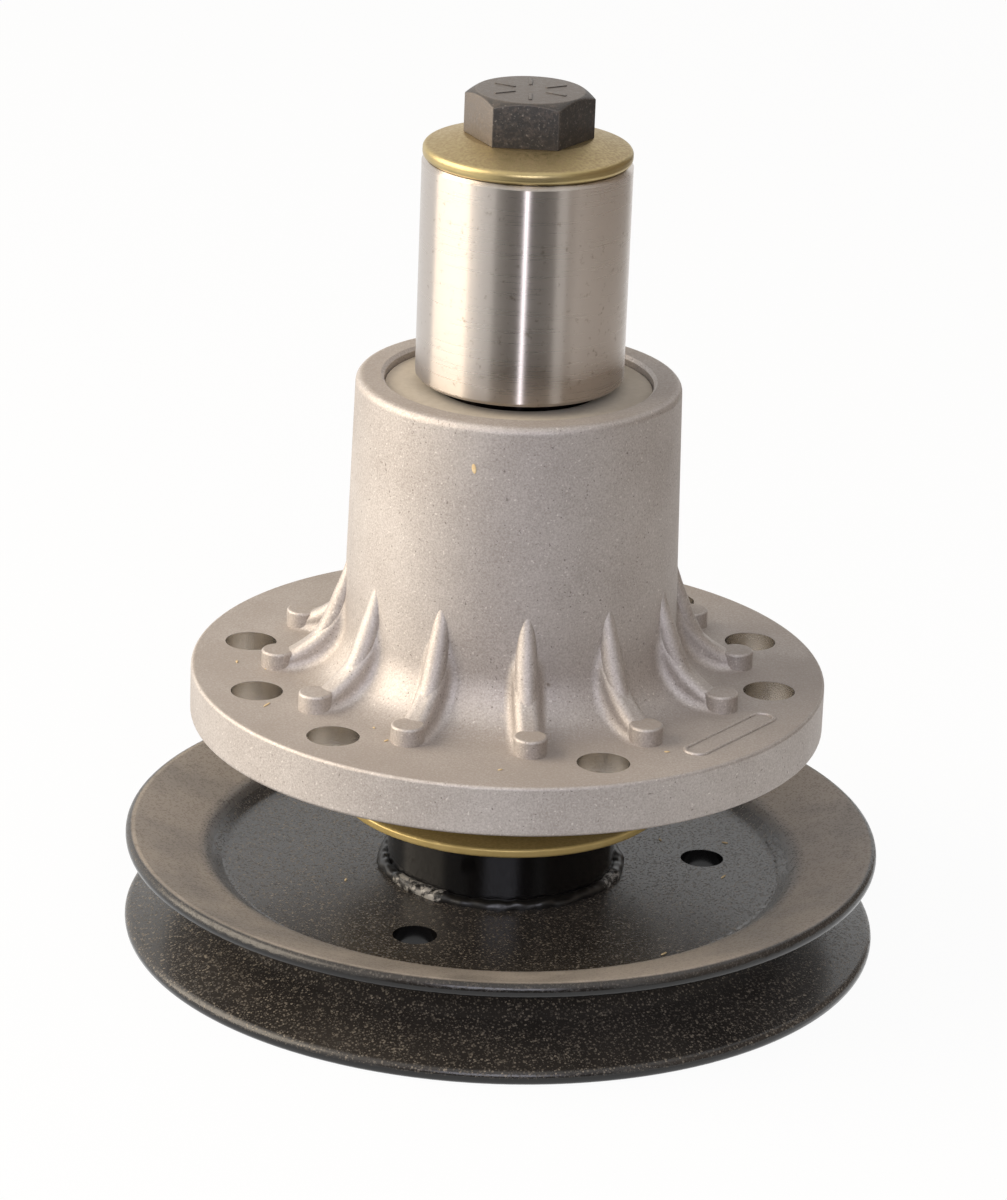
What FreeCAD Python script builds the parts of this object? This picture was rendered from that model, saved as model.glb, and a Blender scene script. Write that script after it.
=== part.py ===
import FreeCAD, Part
import math
import os

import Sketcher

# Mower deck spindle, standing on its pulley with the blade end up.
# The spin axis is Z, and the pulley's lower rim stands at Z = 0.

doc = FreeCAD.newDocument("mower_deck_spindle")
sheet = doc.addObject("Spreadsheet::Sheet", "dims")

DRIVING = {
    # belt pulley, two pressed halves back to back
    "pulley_d": 165.0,
    "pulley_width": 23.0,
    "sheet_gauge": 3.4,
    "flare_angle": 17.2,
    "flare_depth": 17.5,
    "joggle_angle": 38.0,
    "bend_radius": 2.0,
    "rim_round": 1.6,
    "puller_circle_d": 90.0,
    "puller_hole_d": 9.5,
    "puller_turn": -14.0,
    # hub, its weld and the shield disc on it
    "hub_d": 50.0,
    "hub_height": 16.1,
    "hub_nose_d": 34.0,
    "nut_pocket_d": 38.0,
    "hub_edge": 0.8,
    "weld_leg": 2.6,
    "weld_toe": 0.8,
    "weld_round": 0.6,
    "shield_d": 72.0,
    "shield_thick": 2.0,
    "shield_edge": 0.6,
    "shield_to_pilot": 3.2,
    # cast housing
    "pilot_d": 67.0,
    "pilot_length": 13.8,
    "pilot_chamfer": 1.0,
    "flange_d": 137.6,
    "flange_thick": 11.0,
    "flange_round": 0.8,
    "barrel_d": 72.6,
    "barrel_draft": 1.35,
    "barrel_length": 66.0,
    "barrel_round": 1.8,
    "flare_radius": 12.0,
    "bore_chamfer": 0.7,
    "rib_count": 12,
    "rib_turn": 15.0,
    "rib_width": 5.6,
    "rib_height": 25.0,
    "rib_sink": 0.8,
    "rib_round": 2.0,
    "rib_onto_pad": 1.3,
    "rib_root": 2.0,
    "nose_foot_d": 5.0,
    "nose_tip_d": 1.8,
    "nose_length": 19.2,
    "nose_tilt": 16.7,
    "nose_stand_off": 3.75,
    "nose_rise": 5.3,
    "pad_circle_d": 100.0,
    "pad_d": 7.2,
    "pad_height": 3.9,
    "pad_round": 0.6,
    "bolt_circle_d": 114.3,
    "bolt_hole_d": 11.2,
    # bearings, seals and the tube between them
    "bearing_bore": 25.4,
    "bearing_od": 52.0,
    "bearing_width": 15.0,
    "ball_count": 9,
    "ball_d": 7.94,
    "ball_play": 0.1,
    "race_conformity": 0.53,
    "race_depth": 1.9,
    "ring_edge": 0.6,
    "cage_width": 10.8,
    "cage_thick": 2.4,
    "cage_play": 0.2,
    "bearing_shield_thick": 0.9,
    "bearing_shield_seat": 1.0,
    "bearing_shield_recess": 0.6,
    "running_gap": 0.35,
    "seal_od": 57.5,
    "blade_seal_depth": 2.7,
    "seal_height": 5.6,
    "seal_plate": 1.6,
    "seal_wall": 2.2,
    "lip_height": 2.9,
    "lip_thick": 1.8,
    "seat_shoulder": 3.0,
    "tube_d": 31.5,
    # blade end
    "spacer_d": 44.45,
    "spacer_gap": 0.2,
    "spacer_length": 47.6,
    "spacer_edge": 0.8,
    "blade_washer_d": 44.2,
    "blade_washer_gauge": 3.1,
    "blade_washer_rise": 2.1,
    "blade_washer_flat_d": 27.0,
    "blade_washer_round": 1.2,
    "blade_bolt_d": 15.875,
    "blade_bolt_length": 50.8,
    "blade_head_flats": 23.8,
    "blade_head_height": 9.9,
    "blade_head_turn": 35.5,
    "tap_over": 9.0,
    "drill_tip_angle": 31.0,
    "crown_angle": 30.0,
    "crown_inset": 0.5,
    # shaft, key and the nut at the pulley end
    "shaft_short_of_spacer": 1.6,
    "shaft_edge": 0.8,
    "thread_d": 19.05,
    "shaft_end_height": 1.2,
    "nut_flats": 28.575,
    "nut_height": 10.7,
    "nut_turn": 10.0,
    "flat_washer_d": 36.0,
    "flat_washer_thick": 2.6,
    "thread_proud": 0.4,
    "thread_relief": 1.5,
    "key_width": 4.76,
    "key_length": 20.0,
    "slip": 0.03,
}

for row, (alias, value) in enumerate(DRIVING.items(), start=1):
    sheet.set(f"A{row}", alias)
    sheet.set(f"B{row}", str(value))
    sheet.setAlias(f"B{row}", alias)
doc.recompute()

# Heights and radii that follow from the driving sizes, as expressions.
MIDPLANE = "dims.pulley_width / 2"
SHAFT_R = "dims.bearing_bore / 2"
SLIP_BORE_R = f"({SHAFT_R} + dims.slip)"
BEARING_R = "dims.bearing_od / 2"
PITCH_R = "(dims.bearing_bore + dims.bearing_od) / 4"
RACE_R = "dims.ball_d * dims.race_conformity"
INNER_RACE_R = f"({PITCH_R} - dims.ball_d / 2 - dims.ball_play)"
OUTER_RACE_R = f"({PITCH_R} + dims.ball_d / 2 + dims.ball_play)"
INNER_LAND_R = f"({INNER_RACE_R} + dims.race_depth)"
OUTER_LAND_R = f"({OUTER_RACE_R} - dims.race_depth)"
SHIELD_SEAT_R = f"({OUTER_LAND_R} + dims.bearing_shield_seat)"
NOSE_R = "dims.hub_nose_d / 2"
LIP_R = f"({NOSE_R} + dims.running_gap)"
SEAL_R = "dims.seal_od / 2"
HUB_SHOULDER = f"({MIDPLANE} + dims.sheet_gauge + dims.hub_height)"
PILOT_END = f"({HUB_SHOULDER} + dims.shield_thick + dims.shield_to_pilot)"
PULLEY_BEARING = f"({PILOT_END} + dims.seal_height)"
FLANGE_TOP = "(dims.pilot_length + dims.flange_thick)"
BARREL_TOP = f"({FLANGE_TOP} + dims.barrel_length)"
SEAL_TOP = f"({PILOT_END} + {BARREL_TOP} - dims.blade_seal_depth)"
BLADE_BEARING = f"({SEAL_TOP} - dims.seal_height - dims.bearing_width)"
LOWER_WEB = f"({MIDPLANE} - dims.sheet_gauge)"
NUT_FOOT = "(dims.shaft_end_height + dims.thread_proud)"
NUT_SEAT = f"({NUT_FOOT} + dims.nut_height + dims.flat_washer_thick)"
WASHER_HEIGHT = "(dims.blade_washer_gauge + dims.blade_washer_rise)"
SPACER_FOOT = f"({PILOT_END} + {BARREL_TOP} + dims.spacer_gap)"
SPACER_TOP = f"({SPACER_FOOT} + dims.spacer_length)"
HEAD_SEAT = f"({SPACER_TOP} + {WASHER_HEIGHT})"
SHAFT_TOP = f"({SPACER_TOP} - dims.shaft_short_of_spacer)"

FLANGE_HOLE_ANGLES = (0, 30, 90, 150, 180, 210, 270, 330)
PULLER_HOLES = 3
FULL_TURN = 360.0
HALF_TURN = FULL_TURN / 2
HEX_SIDES = 6
HEX_CORNER = FULL_TURN / HEX_SIDES / 2
NEAR = 1e-3

sub_parts = []


def size(expression):
    value = sheet.evalExpression(expression)
    return float(getattr(value, "Value", value))


def new_body(label, seat="0", group=False):
    body = doc.addObject("PartDesign::Body", label)
    body.Label = label
    body.AllowCompound = group
    body.setExpression("Placement.Base.z", seat)
    sub_parts.append(body)
    return body


def origin_feature(body, role):
    return next(f for f in body.Origin.OriginFeatures if f.Role == role)


def new_sketch(body, name, plane="XZ_Plane"):
    sketch = body.newObject("Sketcher::SketchObject", f"{body.Label}_{name}")
    sketch.AttachmentSupport = [(origin_feature(body, plane), "")]
    sketch.MapMode = "FlatFace"
    return sketch


def pin_point(sketch, geometry, vertex, point):
    for kind, expression in zip(("DistanceX", "DistanceY"), point):
        value = size(expression)
        index = sketch.addConstraint(Sketcher.Constraint(kind, -1, 1, geometry, vertex, value))
        sketch.setExpression(f"Constraints[{index}]", expression)


def vector(point):
    return FreeCAD.Vector(size(point[0]), size(point[1]), 0)


def add_loop(sketch, corners):
    # A closed outline of straight runs, each corner held at its two expressions.
    lines = []
    for start, end in zip(corners, corners[1:] + corners[:1]):
        lines.append(sketch.addGeometry(Part.LineSegment(vector(start), vector(end)), False))
    for line, following in zip(lines, lines[1:] + lines[:1]):
        sketch.addConstraint(Sketcher.Constraint("Coincident", line, 2, following, 1))
    for line, corner in zip(lines, corners):
        pin_point(sketch, line, 1, corner)


def add_circle(sketch, centre, radius):
    middle = vector(centre)
    ring = Part.Circle(middle, FreeCAD.Vector(0, 0, 1), size(radius))
    geometry = sketch.addGeometry(ring, False)
    index = sketch.addConstraint(Sketcher.Constraint("Radius", geometry, size(radius)))
    sketch.setExpression(f"Constraints[{index}]", radius)
    pin_point(sketch, geometry, 3, centre)


def spin_sketch(body, kind, name, sketch, axis="V_Axis"):
    # Turns a sketch round the body's axis or one of its own, to add it or to cut it away.
    turned = body.newObject(kind, f"{body.Label}_{name}")
    turned.Profile = sketch
    turned.ReferenceAxis = (sketch, [axis])
    turned.Angle = FULL_TURN
    doc.recompute()
    return turned


def revolve(body, name, *loops, kind="PartDesign::Revolution"):
    sketch = new_sketch(body, f"{name}_profile")
    for corners in loops:
        add_loop(sketch, corners)
    spin_sketch(body, kind, name, sketch)


def cut_round(body, name, corners):
    revolve(body, name, corners, kind="PartDesign::Groove")


def pad(body, name, sketch, length, both_ways=False):
    raised = body.newObject("PartDesign::Pad", f"{body.Label}_{name}")
    raised.Profile = sketch
    raised.Midplane = both_ways
    raised.setExpression("Length", length)
    doc.recompute()
    return raised


def pocket_through(body, name, sketch):
    hole = body.newObject("PartDesign::Pocket", f"{body.Label}_{name}")
    hole.Profile = sketch
    hole.Type = "ThroughAll"
    hole.Midplane = True
    doc.recompute()


def repeat_round(body, name, feature, count):
    pattern = body.newObject("PartDesign::PolarPattern", f"{body.Label}_{name}")
    pattern.Originals = [feature]
    pattern.Axis = (origin_feature(body, "Z_Axis"), [""])
    pattern.Angle = FULL_TURN
    pattern.setExpression("Occurrences", count)
    body.Tip = pattern
    doc.recompute()


def round_edges(body, name, wanted, radius, kind="PartDesign::Fillet"):
    # Rounds or chamfers the edges of the body so far that the test picks out.
    tip = body.Tip
    names = [f"Edge{i}" for i, edge in enumerate(tip.Shape.Edges, start=1) if wanted(edge)]
    dressed = body.newObject(kind, f"{body.Label}_{name}")
    dressed.Base = (tip, names)
    dressed.setExpression("Radius" if kind.endswith("Fillet") else "Size", radius)
    doc.recompute()


def chamfer_edges(body, name, wanted, width):
    round_edges(body, name, wanted, width, "PartDesign::Chamfer")


def is_ring(*rings):
    # Tests for a circle about the body's axis, by its radius and height.
    targets = [(size(radius), size(height)) for radius, height in rings]

    def test(edge):
        if not isinstance(edge.Curve, Part.Circle) or math.hypot(*edge.Curve.Center[:2]) > NEAR:
            return False
        found = (edge.Curve.Radius, edge.Curve.Center.z)
        return any(math.dist(found, target) < NEAR for target in targets)

    return test


def polar(radius, angle):
    return (f"{radius} * cos({angle})", f"{radius} * sin({angle})")


def hexagon(body, name, flats):
    sketch = new_sketch(body, name, "XY_Plane")
    corner_r = f"{flats} / 2 / cos({HEX_CORNER})"
    add_loop(sketch, [polar(corner_r, side * FULL_TURN / HEX_SIDES) for side in range(HEX_SIDES)])
    return sketch


def crown_cut(body, name, flats, face, outward):
    # The turned chamfer that leaves a round face on a hexagon.
    face_r = f"({flats} / 2 - dims.crown_inset)"
    far_r = f"({flats} / 2 / cos({HEX_CORNER}) + dims.crown_inset)"
    drop = f"({far_r} - {face_r}) * tan(dims.crown_angle)"
    cut_round(body, name, [
        (face_r, face), (far_r, face), (far_r, f"{face} - ({outward}) * {drop}"),
    ])


def turn(body, angle):
    body.Placement.Rotation = FreeCAD.Rotation(FreeCAD.Vector(0, 0, 1), size(angle))
    body.setExpression("Placement.Rotation.Angle", angle)


# Pulley

def round_loss(radius, slope):
    # How far a rounded rim falls short of the sharp corner of a slope and an upright edge.
    return f"{radius} * (tan({slope}) + 1 / cos({slope}) - 1)"


RIM_R = "dims.pulley_d / 2"
RIM_TOP = f"({MIDPLANE} + {round_loss('dims.rim_round', 'dims.flare_angle')})"
FLARE_R = f"({RIM_R} - dims.flare_depth)"
FLARE_RISE = f"({RIM_TOP} - ({RIM_R} - {FLARE_R}) * tan(dims.flare_angle))"
JOGGLE_R = f"({FLARE_R} - ({FLARE_RISE} - dims.sheet_gauge) / tan(dims.joggle_angle))"
INNER_BEND_R = f"({JOGGLE_R} + dims.sheet_gauge * tan(dims.joggle_angle / 2))"
MITRE = "(dims.joggle_angle + dims.flare_angle) / 2"
MITRE_LENGTH = "dims.sheet_gauge / cos((dims.joggle_angle - dims.flare_angle) / 2)"
OUTER_BEND_R = f"({FLARE_R} + {MITRE_LENGTH} * sin({MITRE}))"
OUTER_BEND_RISE = f"({FLARE_RISE} - {MITRE_LENGTH} * cos({MITRE}))"
RIM_UNDERSIDE = f"({RIM_TOP} - dims.sheet_gauge / cos(dims.flare_angle))"


def pulley_half(label, upper):
    # One pressed half, its joint face on the pulley's middle plane.
    body = new_body(label, MIDPLANE)
    if not upper:
        body.Placement.Rotation = FreeCAD.Rotation(FreeCAD.Vector(1, 0, 0), HALF_TURN)
    hub_r = "dims.hub_d / 2"
    revolve(body, "pressing", [
        (hub_r, "0"),
        (INNER_BEND_R, "0"),
        (OUTER_BEND_R, OUTER_BEND_RISE),
        (RIM_R, RIM_UNDERSIDE),
        (RIM_R, RIM_TOP),
        (FLARE_R, FLARE_RISE),
        (JOGGLE_R, "dims.sheet_gauge"),
        (hub_r, "dims.sheet_gauge"),
    ])
    sketch = new_sketch(body, "puller_holes", "XY_Plane")
    direction = 1 if upper else -1
    for hole in range(PULLER_HOLES):
        angle = f"{direction} * (dims.puller_turn + {hole * FULL_TURN / PULLER_HOLES})"
        add_circle(sketch, polar("dims.puller_circle_d / 2", angle), "dims.puller_hole_d / 2")
    pocket_through(body, "puller_pockets", sketch)
    round_edges(body, "bends", is_ring(
        (INNER_BEND_R, "0"), (OUTER_BEND_R, OUTER_BEND_RISE),
        (FLARE_R, FLARE_RISE), (JOGGLE_R, "dims.sheet_gauge"),
    ), "dims.bend_radius")
    round_edges(body, "rim", is_ring((RIM_R, RIM_UNDERSIDE), (RIM_R, RIM_TOP)), "dims.rim_round")


pulley_half("pulley_upper_half", True)
pulley_half("pulley_lower_half", False)


def pulley_hub():
    # A turned hub with a pocket for the nut below and a nose for the bearing above.
    body = new_body("pulley_hub", LOWER_WEB)
    hub_r = "dims.hub_d / 2"
    pocket_r = "dims.nut_pocket_d / 2"
    seat = f"({NUT_SEAT} - {LOWER_WEB})"
    shoulder = f"({HUB_SHOULDER} - {LOWER_WEB})"
    revolve(body, "turning", [
        (pocket_r, "0"), (hub_r, "0"), (hub_r, shoulder), (NOSE_R, shoulder),
        (NOSE_R, f"({PULLEY_BEARING} - {LOWER_WEB})"),
        (SLIP_BORE_R, f"({PULLEY_BEARING} - {LOWER_WEB})"),
        (SLIP_BORE_R, seat), (pocket_r, seat),
    ])
    sketch = new_sketch(body, "keyway", "XY_Plane")
    half_key = "dims.key_width / 2 + dims.slip"
    key_top = f"{SHAFT_R} + dims.key_width / 2 + dims.slip"
    add_loop(sketch, [
        ("0", f"-({half_key})"), (key_top, f"-({half_key})"), (key_top, half_key), ("0", half_key),
    ])
    pocket_through(body, "keyway_slot", sketch)
    chamfer_edges(body, "edges", is_ring((hub_r, shoulder)), "dims.hub_edge")


def hub_weld():
    # A fillet weld round the foot of the hub, with a full face between two rounded toes.
    body = new_body("hub_weld", f"{MIDPLANE} + dims.sheet_gauge")
    hub_r = "dims.hub_d / 2"
    leg = "dims.weld_leg"
    toe = "dims.weld_toe"
    revolve(body, "bead", [
        (hub_r, "0"), (f"{hub_r} + {leg}", "0"), (f"{hub_r} + {leg}", toe),
        (f"{hub_r} + {toe}", leg), (hub_r, leg),
    ])
    round_edges(body, "face", is_ring((f"{hub_r} + {leg}", toe), (f"{hub_r} + {toe}", leg)),
                "dims.weld_round")


def dust_shield():
    body = new_body("dust_shield", HUB_SHOULDER)
    edge_r = "dims.shield_d / 2"
    bore_r = f"{NOSE_R} + dims.slip"
    revolve(body, "disc", [
        (bore_r, "0"), (edge_r, "0"), (edge_r, "dims.shield_thick"), (bore_r, "dims.shield_thick"),
    ])
    round_edges(body, "edge", is_ring((edge_r, "0"), (edge_r, "dims.shield_thick")),
                "dims.shield_edge")


pulley_hub()
hub_weld()
dust_shield()


# Housing

DECK_FACE = "dims.pilot_length"
BARREL_R = "dims.barrel_d / 2"
BARREL_TOP_R = f"({BARREL_R} - dims.barrel_length * tan(dims.barrel_draft))"
RIB_TOP = f"({FLANGE_TOP} + dims.rib_height)"
RIB_TOP_R = f"({BARREL_R} - dims.rib_height * tan(dims.barrel_draft) - dims.rib_sink)"
PAD_R = "dims.pad_circle_d / 2"
PAD_TOP = f"({FLANGE_TOP} + dims.pad_height)"
CREST_DROP = f"({RIB_TOP} - {PAD_TOP})"
CREST_RUN = f"({PAD_R} - dims.pad_d / 2 + dims.rib_onto_pad - {RIB_TOP_R})"
CREST_R = f"(({CREST_RUN} * {CREST_RUN} + {CREST_DROP} * {CREST_DROP}) / (2 * {CREST_RUN}))"
CREST_END_RUN = f"({RIB_TOP_R} + {CREST_R} - {PAD_R})"
CREST_END = f"({RIB_TOP} - sqrt({CREST_R} * {CREST_R} - {CREST_END_RUN} * {CREST_END_RUN}))"
RIB_ROOT_R = f"({BARREL_TOP_R} - dims.barrel_round)"


def is_rib_root(casting):
    # Tests for an edge where an upright rib face stands on the flange, the flare or the barrel.
    flange_top = size(FLANGE_TOP)

    def kind(face):
        surface = face.Surface
        if isinstance(surface, Part.Plane):
            return "ground" if abs(surface.Axis.z) > NEAR else "upright"
        if isinstance(surface, (Part.Toroid, Part.Cone)):
            return "ground" if math.hypot(*surface.Center[:2]) < NEAR else "crest"
        return "other"

    def test(edge):
        kinds = sorted(kind(face) for face in casting.ancestorsOfType(edge, Part.Face))
        return kinds == ["ground", "upright"] and edge.BoundBox.ZMin > flange_top - NEAR

    return test


def rib_sketch(body, name):
    # A sketch in the upright plane through the middle of the first rib.
    sketch = new_sketch(body, name)
    spin = FreeCAD.Rotation(FreeCAD.Vector(0, 1, 0), size("dims.rib_turn"))
    sketch.AttachmentOffset = FreeCAD.Placement(FreeCAD.Vector(), spin)
    sketch.setExpression("AttachmentOffset.Rotation.Angle", "dims.rib_turn")
    return sketch


def housing_ribs(body):
    # One rib, its hollow crest running from the barrel into its ejector pad, set round by the pattern.
    sketch = rib_sketch(body, "rib_profile")
    foot = (PAD_R, DECK_FACE + " + dims.flange_round")
    root_foot = (RIB_ROOT_R, foot[1])
    root_top = (RIB_ROOT_R, RIB_TOP)
    crest_top = (RIB_TOP_R, RIB_TOP)
    crest_foot = (PAD_R, CREST_END)
    runs = [(crest_foot, foot), (foot, root_foot), (root_foot, root_top), (root_top, crest_top)]
    lines = []
    for start, end in runs:
        lines.append(sketch.addGeometry(Part.LineSegment(vector(start), vector(end)), False))
    centre = vector((f"{RIB_TOP_R} + {CREST_R}", RIB_TOP))
    radius = size(CREST_R)
    foot_angle = math.atan2(*(vector(crest_foot) - centre)[1::-1]) % math.tau
    circle = Part.Circle(centre, FreeCAD.Vector(0, 0, 1), radius)
    crest = sketch.addGeometry(Part.ArcOfCircle(circle, math.pi, foot_angle), False)
    for line, following in zip(lines, lines[1:]):
        sketch.addConstraint(Sketcher.Constraint("Coincident", line, 2, following, 1))
    sketch.addConstraint(Sketcher.Constraint("Coincident", lines[-1], 2, crest, 1))
    sketch.addConstraint(Sketcher.Constraint("Coincident", crest, 2, lines[0], 1))
    for line, (start, end) in zip(lines, runs):
        pin_point(sketch, line, 1, start)
    pin_point(sketch, crest, 1, crest_top)
    level = sketch.addConstraint(Sketcher.Constraint("DistanceY", -1, 1, crest, 3, centre.y))
    sketch.setExpression(f"Constraints[{level}]", RIB_TOP)
    rib = pad(body, "rib", sketch, "dims.rib_width", both_ways=True)
    repeat_round(body, "ribs", rib, "dims.rib_count")
    round_edges(body, "crests", lambda edge: isinstance(edge.Curve, Part.Circle)
                and abs(edge.Curve.Radius - radius) < NEAR, "dims.rib_round")
    round_edges(body, "roots", is_rib_root(body.Tip.Shape), "dims.rib_root")


def rib_noses(body):
    # A tapered nose that carries each crest on up the barrel, to end in a point.
    sketch = rib_sketch(body, "nose_profile")
    foot = (f"({BARREL_R} + dims.nose_stand_off)", f"({FLANGE_TOP} + dims.nose_rise)")
    tip = (f"({foot[0]} - dims.nose_length * sin(dims.nose_tilt))",
           f"({foot[1]} + dims.nose_length * cos(dims.nose_tilt))")
    loop = [foot]
    for (across, up), width in ((foot, "dims.nose_foot_d"), (tip, "dims.nose_tip_d")):
        loop.append((f"{across} + {width} / 2 * cos(dims.nose_tilt)",
                     f"{up} + {width} / 2 * sin(dims.nose_tilt)"))
    add_loop(sketch, loop + [tip])
    axis = sketch.addGeometry(Part.LineSegment(vector(foot), vector(tip)), True)
    pin_point(sketch, axis, 1, foot)
    pin_point(sketch, axis, 2, tip)
    nose = spin_sketch(body, "PartDesign::Revolution", "nose", sketch, "Axis0")
    repeat_round(body, "noses", nose, "dims.rib_count")


def housing_pads(body):
    sketch = new_sketch(body, "pad_outline", "XY_Plane")
    add_circle(sketch, polar(PAD_R, "dims.rib_turn"), "dims.pad_d / 2")
    sketch.setExpression("AttachmentOffset.Base.z", DECK_FACE + " + dims.flange_round")
    height = f"{PAD_TOP} - ({DECK_FACE} + dims.flange_round)"
    boss = pad(body, "pad", sketch, height)
    repeat_round(body, "pads", boss, "dims.rib_count")
    pad_r = size("dims.pad_d / 2")
    top = size(PAD_TOP)
    round_edges(body, "pad_edges", lambda edge: isinstance(edge.Curve, Part.Circle)
                and abs(edge.Curve.Radius - pad_r) < NEAR
                and abs(edge.Curve.Center.z - top) < NEAR, "dims.pad_round")


def flange_holes(body):
    sketch = new_sketch(body, "bolt_holes", "XY_Plane")
    for angle in FLANGE_HOLE_ANGLES:
        add_circle(sketch, polar("dims.bolt_circle_d / 2", angle), "dims.bolt_hole_d / 2")
    pocket_through(body, "bolt_pockets", sketch)


def spindle_housing():
    body = new_body("spindle_housing", PILOT_END)
    pilot_r = "dims.pilot_d / 2"
    flange_r = "dims.flange_d / 2"
    neck_r = f"({BEARING_R} - dims.seat_shoulder)"
    pulley_seat = f"({PULLEY_BEARING} - {PILOT_END})"
    pulley_shoulder = f"({pulley_seat} + dims.bearing_width)"
    blade_shoulder = f"({BLADE_BEARING} - {PILOT_END})"
    blade_seat = f"({blade_shoulder} + dims.bearing_width)"
    revolve(body, "casting", [
        (SEAL_R, "0"), (pilot_r, "0"), (pilot_r, DECK_FACE), (flange_r, DECK_FACE),
        (flange_r, FLANGE_TOP), (BARREL_R, FLANGE_TOP), (BARREL_TOP_R, BARREL_TOP),
        (SEAL_R, BARREL_TOP), (SEAL_R, blade_seat), (BEARING_R, blade_seat),
        (BEARING_R, blade_shoulder), (neck_r, blade_shoulder), (neck_r, pulley_shoulder),
        (BEARING_R, pulley_shoulder), (BEARING_R, pulley_seat), (SEAL_R, pulley_seat),
    ])
    round_edges(body, "flare", is_ring((BARREL_R, FLANGE_TOP)), "dims.flare_radius")
    housing_ribs(body)
    rib_noses(body)
    housing_pads(body)
    flange_holes(body)
    round_edges(body, "flange_edge", is_ring((flange_r, FLANGE_TOP), (flange_r, DECK_FACE)),
                "dims.flange_round")
    round_edges(body, "barrel_edge", is_ring((BARREL_TOP_R, BARREL_TOP)), "dims.barrel_round")
    chamfer_edges(body, "bore_edges", is_ring((SEAL_R, BARREL_TOP), (SEAL_R, "0")),
                  "dims.bore_chamfer")
    chamfer_edges(body, "pilot_edge", is_ring((pilot_r, "0")), "dims.pilot_chamfer")


spindle_housing()


# Bearings, their seals and the tube between them

def ring_loop(inner_r, outer_r, foot, top):
    return [(inner_r, foot), (outer_r, foot), (outer_r, top), (inner_r, top)]


def race_cut(body, name):
    # The ball groove, a full round of the race radius turned about the bearing's axis.
    sketch = new_sketch(body, f"{name}_profile")
    add_circle(sketch, (PITCH_R, "dims.bearing_width / 2"), RACE_R)
    spin_sketch(body, "PartDesign::Groove", name, sketch)


def bearing(end, seat):
    middle = f"({seat} + dims.bearing_width / 2)"
    width = "dims.bearing_width"
    inner = new_body(f"{end}_inner_ring", seat)
    revolve(inner, "ring", ring_loop(SHAFT_R, INNER_LAND_R, "0", width))
    race_cut(inner, "race")
    chamfer_edges(inner, "edges", is_ring((SHAFT_R, "0"), (SHAFT_R, width)), "dims.ring_edge")

    outer = new_body(f"{end}_outer_ring", seat)
    step = "dims.bearing_shield_thick + dims.bearing_shield_recess"
    revolve(outer, "ring", [
        (SHIELD_SEAT_R, "0"), (BEARING_R, "0"), (BEARING_R, width), (SHIELD_SEAT_R, width),
        (SHIELD_SEAT_R, f"{width} - ({step})"), (OUTER_LAND_R, f"{width} - ({step})"),
        (OUTER_LAND_R, step), (SHIELD_SEAT_R, step),
    ])
    race_cut(outer, "race")
    chamfer_edges(outer, "edges", is_ring((BEARING_R, "0"), (BEARING_R, width)), "dims.ring_edge")

    shields = new_body(f"{end}_shields", seat, group=True)
    clear_r = f"{INNER_LAND_R} + dims.running_gap"
    foot = "dims.bearing_shield_recess"
    revolve(shields, "plates",
            ring_loop(clear_r, SHIELD_SEAT_R, foot, step),
            ring_loop(clear_r, SHIELD_SEAT_R, f"{width} - ({step})", f"{width} - {foot}"))

    balls = new_body(f"{end}_balls", middle, group=True)
    ball = balls.newObject("PartDesign::AdditiveSphere", f"{end}_ball")
    ball.setExpression("Radius", "dims.ball_d / 2")
    ball.setExpression("Placement.Base.x", PITCH_R)
    doc.recompute()
    repeat_round(balls, "set", ball, "dims.ball_count")

    cage = new_body(f"{end}_cage", middle)
    half = "dims.cage_width / 2"
    inside = f"{PITCH_R} - dims.cage_thick / 2"
    outside = f"{PITCH_R} + dims.cage_thick / 2"
    revolve(cage, "band", ring_loop(inside, outside, f"-({half})", half))
    sketch = new_sketch(cage, "window", "YZ_Plane")
    add_circle(sketch, ("0", "0"), "dims.ball_d / 2 + dims.cage_play")
    window = cage.newObject("PartDesign::Pocket", f"{end}_cage_window")
    window.Profile = sketch
    window.setExpression("Length", f"{outside} + dims.cage_thick")
    window.Reversed = True
    doc.recompute()
    repeat_round(cage, "windows", window, "dims.ball_count")


def seal(label, seat, lip_up):
    # A cased seal: an outer wall, a plate facing out and a lip that clears the turning nose.
    body = new_body(label, seat)
    if not lip_up:
        body.Placement.Rotation = FreeCAD.Rotation(FreeCAD.Vector(1, 0, 0), HALF_TURN)
    height = "dims.seal_height"
    wall_r = f"{SEAL_R} - dims.seal_wall"
    lip_r = f"{LIP_R} + dims.lip_thick"
    plate = f"{height} - dims.seal_plate"
    lip_foot = f"{plate} - dims.lip_height"
    revolve(body, "section", [
        (wall_r, "0"), (SEAL_R, "0"), (SEAL_R, height), (LIP_R, height), (LIP_R, lip_foot),
        (lip_r, lip_foot), (lip_r, plate), (wall_r, plate),
    ])


def bearing_tube():
    body = new_body("bearing_spacer", f"{PULLEY_BEARING} + dims.bearing_width")
    length = f"{BLADE_BEARING} - {PULLEY_BEARING} - dims.bearing_width"
    revolve(body, "tube", ring_loop(SLIP_BORE_R, "dims.tube_d / 2", "0", length))


bearing("pulley_end", PULLEY_BEARING)
bearing("blade_end", BLADE_BEARING)
seal("pulley_end_seal", PULLEY_BEARING, False)
seal("blade_end_seal", f"{SEAL_TOP} - dims.seal_height", True)
bearing_tube()


# Blade end

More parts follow.
